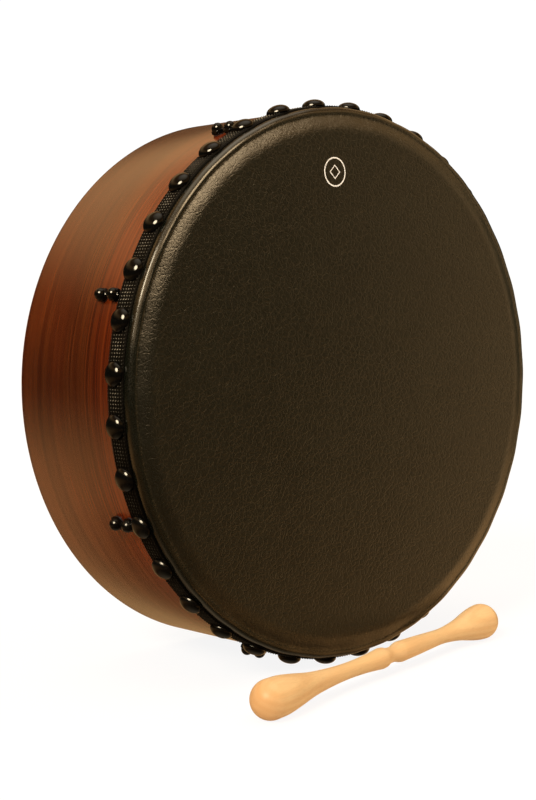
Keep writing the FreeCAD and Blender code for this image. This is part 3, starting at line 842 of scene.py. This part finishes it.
def smooth_run(knots):
    """A smooth curve through points, sampled every few millimetres."""
    knots = np.asarray(knots, float)
    steps = np.diff(knots[:, 0])
    slopes = np.diff(knots[:, 1]) / steps
    tangent = np.concatenate([[slopes[0]], (slopes[:-1] + slopes[1:]) / 2, [slopes[-1]]])
    run = []
    for index, step in enumerate(steps):
        count = max(3, int(step / 2.5))
        for part in np.arange(count) / count:
            (x0, r0), r1 = knots[index], knots[index + 1][1]
            blend = [2 * part ** 3 - 3 * part ** 2 + 1, part ** 3 - 2 * part ** 2 + part,
                     3 * part ** 2 - 2 * part ** 3, part ** 3 - part ** 2]
            radius = (blend[0] * r0 + blend[1] * step * tangent[index] + blend[2] * r1
                      + blend[3] * step * tangent[index + 1])
            run.append((x0 + part * step, radius))
    run.append(tuple(knots[-1]))
    return run


def make_tipper(material):
    """The double-ended beater."""
    points, faces = turned_mesh(tipper_section(), 72)
    return new_piece("beater", points, faces, material, "tipper", ["tipper"],
                     place=TIPPER_PLACE, crease=50)


def paint_cad_nodes(materials):
    """Gives the CAD nodes that stay their own materials."""
    for name, node in frame["nodes"].items():
        for start, material in materials.items():
            if name.startswith(start):
                node.data.materials.clear()
                node.data.materials.append(material)


# ---------------------------------------------------------------- stage, lights and camera

def make_floor():
    """A plain pale floor, lit so fully that its shadows are faint to the eye."""
    bpy.ops.mesh.primitive_plane_add(size=24, location=(0, 4, 0))
    floor = bpy.context.object
    floor.name = "floor"
    nodes = Nodes("pale_floor", (0.62, 0.58, 0.52), 0.9, Specular_IOR_Level=0.1,
                  Emission_Color=(1, 1, 1, 1), Emission_Strength=0.12)
    overlit = nodes.add("ShaderNodeEmission")
    nodes.put(overlit.inputs["Strength"], 1.15)
    seen = nodes.calc("MULTIPLY", nodes.add("ShaderNodeLightPath").outputs["Is Camera Ray"], 0.75)
    both = nodes.two_shaders(seen, nodes.shader.outputs["BSDF"], overlit.outputs["Emission"])
    nodes.link(both, nodes.tree.nodes["Material Output"].inputs["Surface"])
    floor.data.materials.append(nodes.material)
    floor.visible_glossy = False


def make_world():
    """A white backdrop for the eye; for the light, a room that is bright above and below."""
    world = bpy.data.worlds.new("studio")
    bpy.context.scene.world = world
    world.use_nodes = True
    world.node_tree.nodes.clear()
    nodes = Tree(world.node_tree)
    x, y, z = nodes.parts(nodes.add("ShaderNodeTexCoord").outputs["Generated"])
    tone = nodes.ramp(nodes.span(z, -1, 1, kind="LINEAR"), *ROOM)
    rear = nodes.span(y, -0.3, 0.4, 0.15, 0.5, kind="LINEAR")
    right = nodes.span(x, 0.35, 0.75, kind="LINEAR")
    sides = nodes.calc("MAXIMUM", rear, right)
    bright = nodes.calc("MAXIMUM", nodes.calc("MULTIPLY", z, 2.0), sides, use_clamp=True)
    room = nodes.add("ShaderNodeBackground")
    nodes.put(room.inputs["Color"], nodes.scaled(tone, bright))
    nodes.put(room.inputs["Strength"], ROOM_POWER)
    backdrop = nodes.add("ShaderNodeBackground")
    nodes.put(backdrop.inputs["Color"], (1, 1, 1, 1))
    nodes.put(backdrop.inputs["Strength"], BACKDROP_POWER)
    seen = nodes.add("ShaderNodeLightPath").outputs["Is Camera Ray"]
    both = nodes.two_shaders(seen, room.outputs["Background"], backdrop.outputs["Background"])
    nodes.link(both, nodes.add("ShaderNodeOutputWorld").inputs["Surface"])


def from_angles(azimuth, height):
    """A direction from its azimuth, 0 in front and -90 on the left, and its height in degrees."""
    azimuth, height = math.radians(azimuth), math.radians(height)
    level = math.cos(height)
    return Vector((math.sin(azimuth) * level, -math.cos(azimuth) * level, math.sin(height)))


def add_lamp(name, kind, power, colour, direction):
    """A lamp that shines from a direction."""
    light = bpy.data.lights.new(name, kind)
    light.energy = power
    light.color = colour
    lamp = bpy.data.objects.new(name, light)
    bpy.context.scene.collection.objects.link(lamp)
    lamp.rotation_euler = (-direction).to_track_quat("-Z", "Y").to_euler()
    return lamp


def add_sun(name, azimuth, height, strength, angle, colour, *only):
    """A broad, even light from afar, kept to the pieces named at the end if there are any."""
    lamp = add_lamp(name, "SUN", strength, colour, from_angles(azimuth, height))
    lamp.data.angle = math.radians(angle)
    if only:
        lit = bpy.data.collections.new("lit_by_" + name)
        for piece in only:
            lit.objects.link(bpy.data.objects[piece])
        lamp.light_linking.receiver_collection = lit


def add_soft_box(name, place, size, power, colour):
    """A soft box at a place, aimed at the middle of the shell's front rim."""
    lamp = add_lamp(name, "AREA", power, colour, Vector(place) - DRUM_PLACE.translation)
    lamp.location = place
    lamp.data.shape = "RECTANGLE"
    lamp.data.size, lamp.data.size_y = size


def make_lights():
    """A high key from the left, two fills for the head, glints for tacks and nuts, a warm glow."""
    add_sun("key", *KEY_FROM, 2.2, 19, WHITE)
    add_sun("head_sheen", 14, 36, 1.75, 24, PEACH, "head_skin")
    add_sun("fold_fill", -34, 33, 0.5, 36, SAND, "head_skin")
    add_sun("glint", *KEY_FROM, 16.0, 31, WHITE, "domed_tacks", "domed_nuts")
    add_soft_box("side_glow", (0.98, -0.50, 0.17), (0.4, 1.0), 1.24, AMBER)


def make_camera():
    """The camera: a long lens, front left and a little above the drum's middle."""
    camera = bpy.data.cameras.new("camera")
    camera.lens = CAMERA_LENS
    camera.sensor_width = CAMERA_SENSOR
    eye = bpy.data.objects.new("camera", camera)
    bpy.context.scene.collection.objects.link(eye)
    back = from_angles(CAMERA_AZIMUTH, CAMERA_HEIGHT)
    level = (-back).cross(Vector((0, 0, 1))).normalized()
    above = level.cross(-back)
    roll = math.radians(CAMERA_ROLL)
    right = level * math.cos(roll) + above * math.sin(roll)
    upward = above * math.cos(roll) - level * math.sin(roll)
    pose = Matrix((right, upward, back)).transposed().to_4x4()
    pose.translation = DRUM_PLACE.translation + Vector(CAMERA_PLACE) * MM
    eye.matrix_world = pose
    bpy.context.scene.camera = eye


# ---------------------------------------------------------------- making it all

make_camera()
make_floor()
make_world()
bpy.context.scene.view_settings.view_transform = "Standard"

make_shell(hoop_wood())
make_head(head_film())
make_webbing(nylon_webbing())
make_tacks(black_gloss("black_tack", 0.4))
make_cap_nuts(black_gloss("black_nut", 0.7))
make_tuning_ring(ring_wood())
make_tipper(tipper_wood())
make_lights()
paint_cad_nodes({
    "washers": satin_black("black_washer"),
    "bracket_screws": steel("screw_steel", (0.40, 0.40, 0.41), (0.55, 0.55, 0.56), 0.24),
    "tuning_bracket": satin_black("bracket_steel"),
    "tuning_bolt": steel("bolt_steel", (0.06, 0.06, 0.065), (0.14, 0.14, 0.15), 0.3),
})
